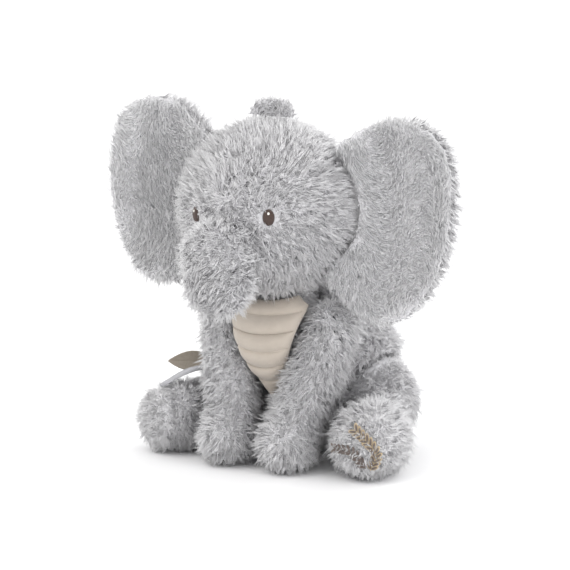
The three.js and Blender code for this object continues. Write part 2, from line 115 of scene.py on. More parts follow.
def soft_light(name, at, look_at, size, power, colour):
    lamp = bpy.data.lights.new(name, "AREA")
    lamp.energy, lamp.size, lamp.color = power, size, colour
    holder = bpy.data.objects.new(name, lamp)
    holder.location = at
    holder.rotation_euler = (Vector(look_at) - Vector(at)).to_track_quat("-Z", "Y").to_euler()
    bpy.context.scene.collection.objects.link(holder)


def plain_world(colour, strength):
    world = bpy.data.worlds.new("studio")
    world.use_nodes = True
    ground = world.node_tree.nodes["Background"]
    ground.inputs["Color"].default_value = (*colour, 1)
    ground.inputs["Strength"].default_value = strength
    bpy.context.scene.world = world


# %% Lights
bpy.context.scene.view_settings.view_transform = "Standard"
plain_world((1, 1, 1), 1.0)
middle = (0, -0.04, 0.12)
soft_light("key", (-0.5, -1.0, 1.25), middle, 0.9, 7, (1, 0.99, 0.98))
soft_light("fill", (1.3, -0.7, 0.5), middle, 1.2, 8, (0.98, 0.98, 1))
soft_light("rim", (0.4, 1.1, 0.9), middle, 0.8, 7, (1, 1, 1))
print("three soft lights in a white room")


# %% [markdown]
# ## Node helpers
# Every material and every Geometry Nodes tree here is written in code. Two small helpers keep it
# short: one adds a node and sets its values, the other links two sockets. A socket is set by name
# where names are unique, and by number where a node repeats a name.

# %% Node helpers
def add(tree, kind, settings=None, **inputs):
    """Adds a node, sets its properties, and sets or links its inputs (i0 is input number 0)."""
    node = tree.nodes.new(kind)
    for key, value in (settings or {}).items():
        setattr(node, key, value)
    for key, value in inputs.items():
        if key[0] == "i" and key[1:].isdigit():
            socket = node.inputs[int(key[1:])]
        else:
            socket = node.inputs[key.replace("_", " ")]
        if isinstance(value, bpy.types.NodeSocket):
            tree.links.new(value, socket)
        else:
            socket.default_value = value
    return node


def calc(tree, operation, *values):
    """A Math node's result."""
    inputs = {f"i{n}": v for n, v in enumerate(values)}
    return add(tree, "ShaderNodeMath", {"operation": operation}, **inputs).outputs[0]


def vector_calc(tree, operation, first, second=None, scale=None):
    """A Vector Math node's vector result."""
    node = add(tree, "ShaderNodeVectorMath", {"operation": operation}, i0=first)
    if isinstance(second, bpy.types.NodeSocket):
        tree.links.new(second, node.inputs[1])
    elif second is not None:
        node.inputs[1].default_value = second
    if isinstance(scale, bpy.types.NodeSocket):
        tree.links.new(scale, node.inputs["Scale"])
    elif scale is not None:
        node.inputs["Scale"].default_value = scale
    return node.outputs[0]


def two_colours(tree, amount, low, high):
    """A colour between two others, by an amount from 0 to 1."""
    mix = tree.nodes.new("ShaderNodeMix")
    mix.data_type = "RGBA"
    for socket, value in zip((mix.inputs[0], mix.inputs[6], mix.inputs[7]), (amount, low, high)):
        if isinstance(value, bpy.types.NodeSocket):
            tree.links.new(value, socket)
        else:
            socket.default_value = value if not isinstance(value, tuple) else (*value, 1)
    return mix.outputs[2]


def new_group(name, kind, ins, outs):
    """A node group with named inputs and outputs: (name, socket type, value or None)."""
    tree = bpy.data.node_groups.new(name, kind)
    for label, socket_type, value in ins:
        socket = tree.interface.new_socket(label, in_out="INPUT", socket_type=socket_type)
        if value is not None:
            socket.default_value = value
    for label, socket_type in outs:
        tree.interface.new_socket(label, in_out="OUTPUT", socket_type=socket_type)
    return tree, tree.nodes.new("NodeGroupInput").outputs, tree.nodes.new("NodeGroupOutput").inputs


def new_material(name, rough, sheen, specular=0.2):
    """A fabric material: gives the material, its tree and its Principled shader."""
    material = bpy.data.materials.new(name)
    material.use_nodes = True
    tree = material.node_tree
    skin = tree.nodes["Principled BSDF"]
    skin.inputs["Roughness"].default_value = rough
    skin.inputs["Sheen Weight"].default_value = sheen
    skin.inputs["Sheen Roughness"].default_value = 0.5
    skin.inputs["Specular IOR Level"].default_value = specular
    return material, tree, skin


FLOAT, VECTOR = "NodeSocketFloat", "NodeSocketVector"
print("helpers are ready")

# %% [markdown]
# ## Shared fabric effects
# Three effects return in several materials. "soft_mottle" makes the slow light and dark changes of
# brushed fabric. "thread_ribs" is a row of fine threads, for satin stitch and cloth. "short_nap" is
# the grain of a cut pile. Each is a node group that gives colours, masks or heights only, and the
# shader stays in the material, where its sheen and gloss are constants.

# %% Effect: soft mottle
mottle, into, out = new_group(
    "soft_mottle", "ShaderNodeTree",
    [("Size", FLOAT, 120.0), ("Detail", FLOAT, 3.0)], [("Amount", FLOAT)],
)
place = add(mottle, "ShaderNodeTexCoord").outputs["Object"]
cloud = add(mottle, "ShaderNodeTexNoise", Vector=place, Scale=into["Size"], Detail=into["Detail"])
mottle.links.new(cloud.outputs[0], out["Amount"])
print("soft_mottle has", len(mottle.nodes), "nodes")

# %% Effect: thread ribs
ribs, into, out = new_group(
    "thread_ribs", "ShaderNodeTree",
    [("Across", VECTOR, (1, 0, 0)), ("Threads per metre", FLOAT, 2500.0), ("Wander", FLOAT, 0.3)],
    [("Height", FLOAT)],
)
place = add(ribs, "ShaderNodeTexCoord").outputs["Object"]
line = add(ribs, "ShaderNodeVectorMath", {"operation": "DOT_PRODUCT"}, i0=place, i1=into["Across"])
drift = add(ribs, "ShaderNodeTexNoise", Vector=place, Scale=400.0).outputs[0]
shifted = calc(ribs, "MULTIPLY", line.outputs["Value"], into["Threads per metre"])
shifted = calc(ribs, "ADD", shifted, calc(ribs, "MULTIPLY", drift, into["Wander"]))
wave = calc(ribs, "SINE", calc(ribs, "MULTIPLY", shifted, 2 * math.pi))
ribs.links.new(calc(ribs, "MULTIPLY_ADD", wave, 0.5, 0.5), out["Height"])
print("thread_ribs has", len(ribs.nodes), "nodes")

# %% Effect: short nap
nap, into, out = new_group(
    "short_nap", "ShaderNodeTree",
    [("Grain", FLOAT, 1800.0), ("Streak", VECTOR, (1, 1, 0.35))], [("Height", FLOAT)],
)
place = add(nap, "ShaderNodeTexCoord").outputs["Object"]
drawn = vector_calc(nap, "MULTIPLY", place, into["Streak"])
fine = add(nap, "ShaderNodeTexNoise", Vector=drawn, Scale=into["Grain"], Detail=2.0).outputs[0]
broad = add(nap, "ShaderNodeTexNoise", Vector=drawn, Scale=260.0, Detail=2.0).outputs[0]
nap.links.new(calc(nap, "MULTIPLY_ADD", broad, 0.8, fine), out["Height"])
print("short_nap has", len(nap.nodes), "nodes")


# %% [markdown]
# ## The materials
# Long pile is lit from all sides and shades itself. Its colour is also mixed along each lock with
# painted shade: darker at the root, where the other locks shade it, and pale at the tip. Both values
# come from attributes that the pile tree stores. The other fabrics take their colour from slow
# mottling and their relief from a Bump node.

# %% Materials with groups
def use(tree, group, **values):
    """Places a node group and sets its inputs."""
    node = add(tree, "ShaderNodeGroup", {"node_tree": group})
    for key, value in values.items():
        node.inputs[key.replace("_", " ")].default_value = value
    return node.outputs[0]


def relief(tree, skin, height, depth, strength=1.0):
    """Height as a bump on a shader's normal."""
    bump = add(tree, "ShaderNodeBump", Strength=strength, Distance=depth, Height=height)
    tree.links.new(bump.outputs[0], skin.inputs["Normal"])


# Pile colour runs from a root colour, which is painted shade deep in the pile, to the pile's own tip colour,
# and a random tint per clump shifts the mix.
def pile_material(name, root, tip, sheen):
    material, tree, skin = new_material(name, 0.92, sheen, 0.1)
    skin.inputs["Subsurface Weight"].default_value = 0.8
    skin.inputs["Subsurface Radius"].default_value = (1.0, 1.0, 1.0)
    skin.inputs["Subsurface Scale"].default_value = 0.002
    along = add(tree, "ShaderNodeAttribute", {"attribute_name": "along"}).outputs["Fac"]
    tint = add(tree, "ShaderNodeAttribute", {"attribute_name": "tint"}).outputs["Fac"]
    amount = calc(tree, "POWER", along, 0.7)
    amount = calc(tree, "MULTIPLY_ADD", calc(tree, "SUBTRACT", tint, 0.5), 0.3, amount)
    amount = add(tree, "ShaderNodeClamp", Value=amount).outputs[0]
    tree.links.new(two_colours(tree, amount, root, tip), skin.inputs["Base Color"])
    return material


def cloth_material(name, low, high, rough, sheen, size=150.0, bump=None, depth=0.0002):
    material, tree, skin = new_material(name, rough, sheen)
    colour = two_colours(tree, use(tree, mottle, Size=size), low, high)
    tree.links.new(colour, skin.inputs["Base Color"])
    if bump:
        group, values = bump
        relief(tree, skin, use(tree, group, **values), depth)
    return material


# %% The finishes
# In each pile the first colour is the painted root shade and the second is the pile's own colour at the tip.
fur = pile_material("grey_fur", (0.69, 0.68, 0.695), (0.74, 0.73, 0.75), 0.3)
ear_nap = pile_material("smooth_grey_pile", (0.79, 0.785, 0.80), (0.85, 0.845, 0.86), 0.3)
# The backing cloth is painted darker than the pile, as shade in the gaps between the locks.
shaded_backing = cloth_material(
    "pile_backing_painted_shade", (0.58, 0.575, 0.59), (0.65, 0.645, 0.66), 0.95, 0.2,
    bump=(nap, {"Grain": 900.0}), depth=0.0006,
)
# Velboa of the ear fronts. On the hind soles the same darker colour is painted shade, because their flat
# cloth catches the light.
velboa_and_sole_shade = cloth_material(
    "ear_velboa_and_sole_shade", (0.64, 0.635, 0.65), (0.72, 0.715, 0.73), 0.85, 0.3,
    bump=(nap, {"Grain": 1500.0}), depth=0.0005,
)
velour = cloth_material(
    "cream_velour", (0.46, 0.405, 0.345), (0.55, 0.49, 0.425), 0.9, 0.35,
    bump=(nap, {"Grain": 2600.0, "Streak": (1, 1, 1)}), depth=0.00025,
)
# The channel thread is darker than the velour: partly the thread's own colour, partly painted shade in the
# sewn channels.
channel_thread_and_shade = cloth_material(
    "cream_thread_and_channel_shade", (0.36, 0.30, 0.25), (0.46, 0.40, 0.34), 0.7, 0.1, 900.0,
    bump=(ribs, {"Threads per metre": 4000.0, "Across": (1, 0, 1)}), depth=0.00005,
)
dark_thread = cloth_material(
    "dark_thread", (0.050, 0.032, 0.027), (0.115, 0.078, 0.066), 0.45, 0.15, 700.0,
    bump=(ribs, {"Threads per metre": 2600.0, "Across": (0.25, 0, 1)}), depth=0.00012,
)
sprig_thread = cloth_material(
    "sprig_brown", (0.11, 0.085, 0.075), (0.20, 0.165, 0.145), 0.5, 0.2, 700.0,
    bump=(ribs, {"Threads per metre": 2600.0, "Across": (0.6, 0, 1)}), depth=0.00012,
)
white_thread = cloth_material(
    "white_thread", (0.80, 0.78, 0.73), (0.95, 0.93, 0.88), 0.4, 0.1, 700.0,
    bump=(ribs, {"Threads per metre": 3000.0, "Across": (0, 0, 1)}), depth=0.00006,
)
tan_thread = cloth_material(
    "tan_thread", (0.46, 0.36, 0.23), (0.62, 0.50, 0.34), 0.5, 0.15, 700.0,
    bump=(ribs, {"Threads per metre": 2600.0, "Across": (0, 1, 1)}), depth=0.0001,
)
tan_weave = cloth_material(
    "tan_cloth", (0.33, 0.285, 0.23), (0.46, 0.40, 0.33), 0.85, 0.3, 500.0,
    bump=(ribs, {"Threads per metre": 1500.0, "Across": (0.7, 0.7, 1)}), depth=0.0003,
)
grey_velour = cloth_material(
    "grey_velour", (0.38, 0.38, 0.40), (0.48, 0.48, 0.50), 0.9, 0.4, 300.0,
    bump=(nap, {"Grain": 2400.0, "Streak": (1, 1, 1)}), depth=0.0003,
)
fibre = cloth_material(
    "fibre_stuffing", (0.78, 0.77, 0.74), (0.92, 0.91, 0.88), 0.95, 0.3, 300.0,
    bump=(nap, {"Grain": 700.0, "Streak": (1, 0.3, 1)}), depth=0.001,
)
pellet_cotton = cloth_material(
    "pellet_cloth", (0.60, 0.56, 0.48), (0.72, 0.68, 0.60), 0.9, 0.1, 500.0,
    bump=(ribs, {"Threads per metre": 1200.0, "Across": (1, 1, 0)}), depth=0.0003,
)
print(len(bpy.data.materials), "materials")


# %% [markdown]
# ## From a sewn part to a soft skin
# A part of the frame is a hollow cover with its stuffing inside. Joined and remeshed with small
# voxels they become one closed skin with even faces, which cloth can bend. The outer pile stands on
# the backing cloth, so the skin lies a few millimetres below the cover's outside. Where two parts
# touch, the pile is pressed flat and the skin stays at the surface. A distance search tells which.

# %% Reading meshes
def points_of(thing):
    co = np.zeros(len(thing.data.vertices) * 3, np.float32)
    thing.data.vertices.foreach_get("co", co)
    return co.reshape(-1, 3).astype(float)


def set_points(thing, points):
    thing.data.vertices.foreach_set("co", np.asarray(points, np.float32).ravel())
    thing.data.update()


def normals_of(thing):
    n = np.zeros(len(thing.data.vertices) * 3, np.float32)
    thing.data.vertices.foreach_get("normal", n)
    return n.reshape(-1, 3).astype(float)


def copy_of(name, *parts):
    """A new object with the merged meshes of some frame parts."""
    made = bmesh.new()
    for part in parts:
        made.from_mesh(nodes[part].data)
    bmesh.ops.remove_doubles(made, verts=made.verts, dist=1e-6)
    data = bpy.data.meshes.new(name)
    made.to_mesh(data)
    made.free()
    thing = bpy.data.objects.new(name, data)
    bpy.context.scene.collection.objects.link(thing)
    return thing


def bake(thing):
    """Replaces an object's mesh with what its modifiers make of it."""
    graph = bpy.context.evaluated_depsgraph_get()
    graph.update()
    data = bpy.data.meshes.new_from_object(thing.evaluated_get(graph))
    thing.modifiers.clear()
    old, thing.data = thing.data, data
    bpy.data.meshes.remove(old)
    return thing


def modify(thing, kind, **settings):
    modifier = thing.modifiers.new(kind.lower(), kind)
    for key, value in settings.items():
        setattr(modifier, key, value)
    return bake(thing)


def near(tree, points):
    """Distance from each point to a search tree's surface."""
    return np.array([tree.find_nearest(p)[3] for p in points])


def attribute(thing, name, kind, values):
    made = thing.data.attributes.new(name, kind, "POINT")
    field = "vector" if kind == "FLOAT_VECTOR" else "value"
    made.data.foreach_set(field, np.asarray(values, np.float32).ravel())


# %% Which bodies lie next to which
covers = {
    "torso": ["torso_cover"], "head": ["head_cover"], "trunk": ["trunk_cover"],
    "tuft": ["head_tuft"], "tail": ["tail"],
    "left_ear": ["left_ear_back", "left_ear_front"],
    "right_ear": ["right_ear_back", "right_ear_front"],
    "left_front_leg": ["left_front_leg_cover"], "right_front_leg": ["right_front_leg_cover"],
    "left_hind_leg": ["left_hind_leg_cover", "left_hind_leg_sole"],
    "right_hind_leg": ["right_hind_leg_cover", "right_hind_leg_sole"],
}


def search_tree(*parts):
    """One search tree over some frame parts."""
    shape = bmesh.new()
    for part in parts:
        shape.from_mesh(nodes[part].data)
    tree = BVHTree.FromBMesh(shape)
    shape.free()
    return tree


def neighbours(body):
    """The covers that press on a body. The trunk grows out of the head, so that pair is left out."""
    pair = {"head": "trunk", "trunk": "head"}.get(body)
    return search_tree(*[p for b, parts in covers.items() if b not in (body, pair) for p in parts])


def openness(tree, points, outward, reach=0.0055):
    """1 where nothing stands in front of a point, 0 where a neighbour touches it."""
    found = np.ones(len(points))
    for k, (p, n) in enumerate(zip(points, outward)):
        if tree.find_nearest(p, reach)[0] is None:
            continue
        n = Vector(n).normalized()
        side = n.orthogonal().normalized()
        ways = [n]
        for turned in (side, -side, n.cross(side), -n.cross(side)):
            ways.append((n + turned * 0.6).normalized())
        seen = [tree.ray_cast(Vector(p) + w * 1e-5, w, reach)[3] for w in ways]
        found[k] = sum(1.0 if far is None else far / reach for far in seen) / len(ways)
    return found


# %% Cloth
def puff(thing, pressure=4.0, cap=0.003):
    """Blows a skin up a little with Cloth, then keeps each point within the cap."""
    start = points_of(thing)
    cloth = thing.modifiers.new("cloth", "CLOTH")
    cloth.settings.quality = 4
    cloth.settings.use_pressure = True
    cloth.settings.uniform_pressure_force = pressure
    cloth.settings.effector_weights.gravity = 0
    cloth.collision_settings.use_collision = False
    cloth.point_cache.frame_start, cloth.point_cache.frame_end = 1, 20
    for step in range(1, 21):
        bpy.context.scene.frame_set(step)
    bake(thing)
    bpy.context.scene.frame_set(1)
    moved = points_of(thing) - start
    far = np.linalg.norm(moved, axis=1, keepdims=True)
    set_points(thing, start + moved * np.minimum(1, cap / np.maximum(far, 1e-9)))


def dress(thing, body, finish=None, stands_for=None):
    """Gives a piece its finish, hangs it on its body's empty and hides the frame part it stands for."""
    if finish:
        thing.data.shade_smooth()
        thing.data.materials.append(finish)
    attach(thing, body)
    if stands_for:
        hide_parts(stands_for)


SKIN_LIFT = 1.3 * MM


def stay_outside(thing, *inner):
    """Lifts a skin's points that would lie below the stuffing's surface."""
    tree = search_tree(*inner)
    points = points_of(thing)
    for k, p in enumerate(points):
        spot, outward, _, far = tree.find_nearest(p)
        height = (Vector(p) - spot).dot(outward)
        if height < SKIN_LIFT and far < 0.01:
            points[k] = spot + outward * SKIN_LIFT
    set_points(thing, points)


# %% Skins
PILE_DEPTH = 3.4 * MM


def add_ball(thing, centre, radius):
    """Joins a ball to an object's mesh, before it is remeshed."""
    made = bmesh.new()
    made.from_mesh(thing.data)
    place = Matrix.Translation(centre)
    bmesh.ops.create_icosphere(made, subdivisions=3, radius=radius, matrix=place)
    made.to_mesh(thing.data)
    made.free()


muzzle = [((0, -0.107, 0.146), 0.0232), ((0, -0.113, 0.1445), 0.0222)]


def skin_of(name, body, parts, voxel=0.0036, depth=PILE_DEPTH, smooth=5, cap=0.0025):
    """A closed soft skin for one body, with attribute pile: 1 in the open, 0 where it is pressed."""
    thing = copy_of(name, *parts, *(["bib_panel"] if body == "torso" else []))
    if body == "head":
        for centre, radius in muzzle:
            add_ball(thing, centre, radius)
    modify(thing, "REMESH", mode="VOXEL", voxel_size=voxel)
    modify(thing, "SMOOTH", factor=0.5, iterations=smooth)
    points, outward = points_of(thing), normals_of(thing)
    free = np.clip((openness(neighbours(body), points, outward) - 0.15) / 0.45, 0, 1)
    set_points(thing, points - outward * (free * depth)[:, None])
    puff(thing, cap=cap)
    modify(thing, "SMOOTH", factor=0.5, iterations=3)
    if parts[1:]:
        stay_outside(thing, *parts[1:])
    lined = {"left_ear": "left_ear_front", "right_ear": "right_ear_front", "torso": "bib_panel"}
    if body in lined:
        lining = search_tree(lined[body])
        free *= np.clip((near(lining, points_of(thing)) - 0.0018) / 0.0015, 0, 1)
    free *= np.clip(points_of(thing)[:, 2] / 0.004, 0, 1)
    attribute(thing, "pile", "FLOAT", free)
    thing.data.shade_smooth()
    print(name, len(thing.data.polygons), "faces")
    return thing


skins = {
    "torso": skin_of("torso_skin", "torso", ["torso_cover", "torso_stuffing"]),
    "head": skin_of("head_skin", "head", ["head_cover", "head_stuffing"]),
    "trunk": skin_of("trunk_skin", "trunk", ["trunk_cover", "trunk_stuffing"], 0.003, 0.0),
}
for side in ("left", "right"):
    for pair in ("front", "hind"):
        body = f"{side}_{pair}_leg"
        skins[body] = skin_of(f"{body}_skin", body, [f"{body}_cover", f"{body}_stuffing"], 0.0032)
    body = f"{side}_ear"
    skins[body] = skin_of(
        f"{body}_back_skin", body, [f"{body}_back", f"{body}_wadding"], 0.0024, 2.6 * MM, 3, 0.0012
    )
skins["tuft"] = skin_of("tuft_skin", "tuft", ["head_tuft"], 0.0016, 1.2 * MM, 2, 0.001)
skins["tail"] = skin_of("tail_skin", "tail", ["tail"], 0.0016, 1.4 * MM, 1, 0.0006)

# %% [markdown]
# ## The ears' own curve
# The ear is held flat only at its root. It falls back into a hollow beside the head, and its rim and
# lower lobe roll forward. One function of the place on the ear bends the back skin, the wadding and
# the front panel, so that the three stay together. In the same way the stuffing is fullest at the
# shoulders and the small flap on the crown is folded low.

# %% Ear curve
def ear_bend(thing):
    points = points_of(thing)
    out, height = (np.abs(points[:, 0]) - 0.054) / 0.076, (points[:, 2] - 0.168) / 0.126
    hollow = 0.0042 * np.exp(-((out - 0.3) / 0.19) ** 2)
    rim = 0.0032 * np.clip((out - 0.62) / 0.38, 0, 1) ** 1.5
    lobe = 0.0050 * np.exp(-((height + 0.42) / 0.14) ** 2) * np.clip(out / 0.4, 0, 1)
    top = 0.0022 * np.exp(-((height - 0.45) / 0.12) ** 2) * np.clip(out / 0.4, 0, 1)
    points[:, 1] += (hollow - rim - lobe - top) * np.clip((out + 0.02) / 0.12, 0, 1)
    away = np.clip(out / 0.3, 0, 1)
    if points[:, 0].mean() > 0:
        points[:, 2] -= 0.009 * away * np.clip((0.15 - height) / 0.6, 0, 1) ** 1.2
        points[:, 0] += 0.004 * np.clip((-0.1 - height) / 0.4, 0, 1) * away
        low = np.clip((-0.12 - height) / 0.25, 0, 1)
        points[:, 0] -= 0.0075 * low * np.clip(1 - out / 0.55, 0, 1)
    else:
        points[:, 2] += 0.006 * away * np.clip((height + 0.3) / 0.8, 0, 1)
    set_points(thing, points)


for side in ("left", "right"):
    ear_bend(skins[f"{side}_ear"])
    wadding = copy_of(f"{side}_ear_wadding_bent", f"{side}_ear_wadding")
    modify(wadding, "REMESH", mode="VOXEL", voxel_size=0.0014)
    ear_bend(wadding)
    dress(wadding, f"{side}_ear", fibre, f"{side}_ear_wadding")
shoulders = points_of(skins["torso"])
for side in (0.030, -0.030):
    far = np.linalg.norm(shoulders[:, :2] - [side, -0.016], axis=1)
    high = np.clip((shoulders[:, 2] - 0.065) / 0.03, 0, 1)
    shoulders[:, 2] += 0.0075 * high * np.exp(-(far / 0.026) ** 2)
set_points(skins["torso"], shoulders)
flap = points_of(skins["tuft"])
flap[:, 2] = 0.226 + (flap[:, 2] - 0.226) * 0.74
flap[:, 0] = flap[:, 0].mean() + (flap[:, 0] - flap[:, 0].mean()) * 1.3
set_points(skins["tuft"], flap)
print("ears bent, crown flap folded lower")

# %% [markdown]
# ## Modelling the face
# The head is sewn from two halves, so a seam runs down the forehead and pulls the pile in. A thread
# between the eyes draws small hollows where each eye sits. Both are shallow dents, so they are made
# by moving the skin's own points, with a smooth falloff from the seam line and from each eye.

# %% Dents in the face
eyes = {}
for side in ("left", "right"):
    low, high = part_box(f"{side}_eye")
    eyes[side] = (np.array(low) + np.array(high)) / 2
face = skins["head"]
points, outward = points_of(face), normals_of(face)
forward = outward[:, 1] < 0.1
seam = np.exp(-(points[:, 0] / 0.0035) ** 2) * forward
seam *= np.clip((points[:, 2] - 0.160) / 0.01, 0, 1) * np.clip((0.226 - points[:, 2]) / 0.01, 0, 1)
dent = 0.0012 * seam
bridge = np.array([0, -0.118, 0.176])
dent += 0.0016 * np.exp(-(np.linalg.norm(points - bridge, axis=1) / 0.013) ** 2)
for eye in eyes.values():
    dent += 0.0016 * np.exp(-(np.linalg.norm(points - eye, axis=1) / 0.009) ** 2)
set_points(face, points - outward * dent[:, None])
stay_outside(face, "head_stuffing")
print("deepest dent", round(dent.max() * 1000, 1), "mm")


# %% [markdown]
# ## The pile
# Plush pile is thousands of curly locks that lean together in clumps. That repeats over a surface,
# so it is a Geometry Nodes tree. It scatters roots, finds for each root its nearest clump, and sets
# a thin cone there. After the cones are real mesh, each point is moved by its height on the lock:
# towards the clump, along the combed direction and along a noise that curls a clump as one.
# Attributes keep the height and a random tint for the colour.

# %% The pile tree
pile_inputs = [
    ("Geometry", "NodeSocketGeometry", None), ("Density", FLOAT, 700000.0),
    ("Length", FLOAT, 0.0062), ("Width", FLOAT, 0.0009), ("Clump size", FLOAT, 0.0022),
    ("Clump pull", FLOAT, 0.36), ("Curl", FLOAT, 0.0019), ("Lean", FLOAT, 0.76),
    ("Disorder", FLOAT, 0.5), ("Segments", "NodeSocketInt", 2), ("Seed", "NodeSocketInt", 1),
    ("Material", "NodeSocketMaterial", None),
]
pile, into, out = new_group(
    "plush_pile", "GeometryNodeTree", pile_inputs, [("Geometry", "NodeSocketGeometry")]
)
free = add(pile, "GeometryNodeInputNamedAttribute", {"data_type": "FLOAT"}, Name="pile").outputs[0]
comb = add(
    pile, "GeometryNodeInputNamedAttribute", {"data_type": "FLOAT_VECTOR"}, Name="comb"
).outputs[0]
open_cloth = calc(pile, "MULTIPLY", into["Density"], calc(pile, "GREATER_THAN", free, 0.3))
roots = add(
    pile, "GeometryNodeDistributePointsOnFaces", Mesh=into["Geometry"], Density=open_cloth,
    Seed=into["Seed"],
)
per_area = calc(pile, "DIVIDE", 1.0, calc(pile, "MULTIPLY", into["Clump size"], into["Clump size"]))
middles = add(
    pile, "GeometryNodeDistributePointsOnFaces", Mesh=into["Geometry"], Density=per_area,
    Seed=calc(pile, "ADD", into["Seed"], 11.0),
).outputs["Points"]
print("roots and clump middles")

# %% Each root finds its clump
here = add(pile, "GeometryNodeInputPosition").outputs[0]
nearest = add(pile, "GeometryNodeSampleNearest", Geometry=middles).outputs[0]
middle_at = add(
    pile, "GeometryNodeSampleIndex", {"data_type": "FLOAT_VECTOR", "domain": "POINT"},
    Geometry=middles, Value=here, Index=nearest,
).outputs[0]
sway = add(pile, "FunctionNodeRandomValue", {"data_type": "FLOAT_VECTOR"}, Seed=into["Seed"])
sway.inputs[0].default_value, sway.inputs[1].default_value = (-1, -1, -1), (1, 1, 1)
pile.links.new(nearest, sway.inputs["ID"])
shade = add(pile, "FunctionNodeRandomValue", {"data_type": "FLOAT"}, Seed=into["Seed"])
shade.inputs[2].default_value, shade.inputs[3].default_value = 0.0, 1.0
pile.links.new(nearest, shade.inputs["ID"])
own = add(pile, "FunctionNodeRandomValue", {"data_type": "FLOAT"}, Seed=into["Seed"])
own.inputs[2].default_value, own.inputs[3].default_value = 0.75, 1.2
tall = calc(pile, "MULTIPLY_ADD", free, 0.5, 0.5)
long = calc(pile, "MULTIPLY", calc(pile, "MULTIPLY", into["Length"], tall), own.outputs[1])
swing = vector_calc(pile, "SCALE", comb, scale=into["Lean"])
swing = vector_calc(pile, "ADD", swing, vector_calc(pile, "SCALE", sway.outputs[0], scale=into["Disorder"]))
swing = vector_calc(pile, "SCALE", swing, scale=long)
pull = vector_calc(pile, "SUBTRACT", middle_at, here)
pull = vector_calc(pile, "SCALE", pull, scale=into["Clump pull"])
swing = vector_calc(pile, "ADD", swing, pull)
tint = calc(pile, "MULTIPLY_ADD", shade.outputs[1], 0.6, calc(pile, "MULTIPLY", own.outputs[1], 0.3))
print("clump, length and swing of each lock")


# %% What each root remembers, and its lock
def remember(geometry, name, kind, value, domain="POINT"):
    settings = {"data_type": kind, "domain": domain}
    node = add(pile, "GeometryNodeStoreNamedAttribute", settings, Geometry=geometry, Name=name)
    pile.links.new(value, node.inputs["Value"])
    return node.outputs[0]


stored = roots.outputs["Points"]
stored = remember(stored, "swing", "FLOAT_VECTOR", swing)
stored = remember(stored, "clump", "FLOAT_VECTOR", middle_at)
stored = remember(stored, "tint", "FLOAT", tint)
stored = remember(stored, "up", "FLOAT_VECTOR", roots.outputs["Normal"])
cone = add(
    pile, "GeometryNodeMeshCone", {"fill_type": "NGON"}, Vertices=3, Side_Segments=into["Segments"],
    Radius_Top=0.0, Radius_Bottom=0.5, Depth=1.0,
).outputs["Mesh"]
height = add(pile, "ShaderNodeSeparateXYZ", i0=here).outputs[2]
cone = remember(cone, "along", "FLOAT", height)
wide = calc(pile, "MULTIPLY", into["Width"], own.outputs[1])
size = add(pile, "ShaderNodeCombineXYZ", i0=wide, i1=wide, i2=long).outputs[0]
locks = add(
    pile, "GeometryNodeInstanceOnPoints", Points=stored, Instance=cone,
    Rotation=roots.outputs["Rotation"], Scale=size,
).outputs[0]
locks = add(pile, "GeometryNodeRealizeInstances", Geometry=locks).outputs[0]
print("locks are real mesh")


# %% Bend and curl
def recall(name, kind):
    return add(pile, "GeometryNodeInputNamedAttribute", {"data_type": kind}, Name=name).outputs[0]


along = recall("along", "FLOAT")
bent = vector_calc(pile, "SCALE", recall("swing", "FLOAT_VECTOR"), scale=calc(pile, "POWER", along, 1.4))
path = vector_calc(pile, "SCALE", recall("clump", "FLOAT_VECTOR"), scale=310.0)
climb = add(pile, "ShaderNodeCombineXYZ", i2=calc(pile, "MULTIPLY", along, 1.5)).outputs[0]
noise = add(
    pile, "ShaderNodeTexNoise", Vector=vector_calc(pile, "ADD", path, climb), Scale=1.0, Detail=0.0
).outputs[1]
curl = vector_calc(pile, "SUBTRACT", noise, (0.5, 0.5, 0.5))
curl = vector_calc(pile, "SCALE", curl, scale=calc(pile, "MULTIPLY", into["Curl"], 4.0))
curl = vector_calc(pile, "SCALE", curl, scale=along)
size_of = add(pile, "ShaderNodeVectorMath", {"operation": "LENGTH"}, i0=bent).outputs["Value"]
sink = vector_calc(pile, "SCALE", recall("up", "FLOAT_VECTOR"), scale=calc(pile, "MULTIPLY", size_of, -0.35))
offset = vector_calc(pile, "ADD", vector_calc(pile, "ADD", bent, curl), sink)
locks = add(pile, "GeometryNodeSetPosition", Geometry=locks, Offset=offset).outputs[0]
locks = add(pile, "GeometryNodeSetMaterial", Geometry=locks, Material=into["Material"]).outputs[0]
pile.links.new(locks, out["Geometry"])
print("plush_pile has", len(pile.nodes), "nodes")


# %% Growing the pile
def run_tree(tree, name, source, **values):
    """Runs a Geometry Nodes tree on a copy of a mesh and gives the result as a plain mesh."""
    thing = bpy.data.objects.new(name, source.data.copy())
    bpy.context.scene.collection.objects.link(thing)
    modifier = thing.modifiers.new("nodes", "NODES")
    modifier.node_group = tree
    keys = {item.name: item.identifier for item in tree.interface.items_tree if item.in_out == "INPUT"}
    for key, value in values.items():
        modifier[keys[key.replace("_", " ")]] = value
    return bake(thing)


def keep_on(thing, test):
    """Removes a mesh's faces whose middles don't pass a test, so that patches meet without a gap."""
    made = bmesh.new()
    made.from_mesh(thing.data)
    wanted = test(np.array([tuple(face.calc_center_median()) for face in made.faces]))
    drop = [face for face, keep in zip(made.faces, wanted) if not keep]
    bmesh.ops.delete(made, geom=drop, context="FACES")
    made.to_mesh(thing.data)
    made.free()


def triangles(thing):
    return len(thing.data.loops) - 2 * len(thing.data.polygons)


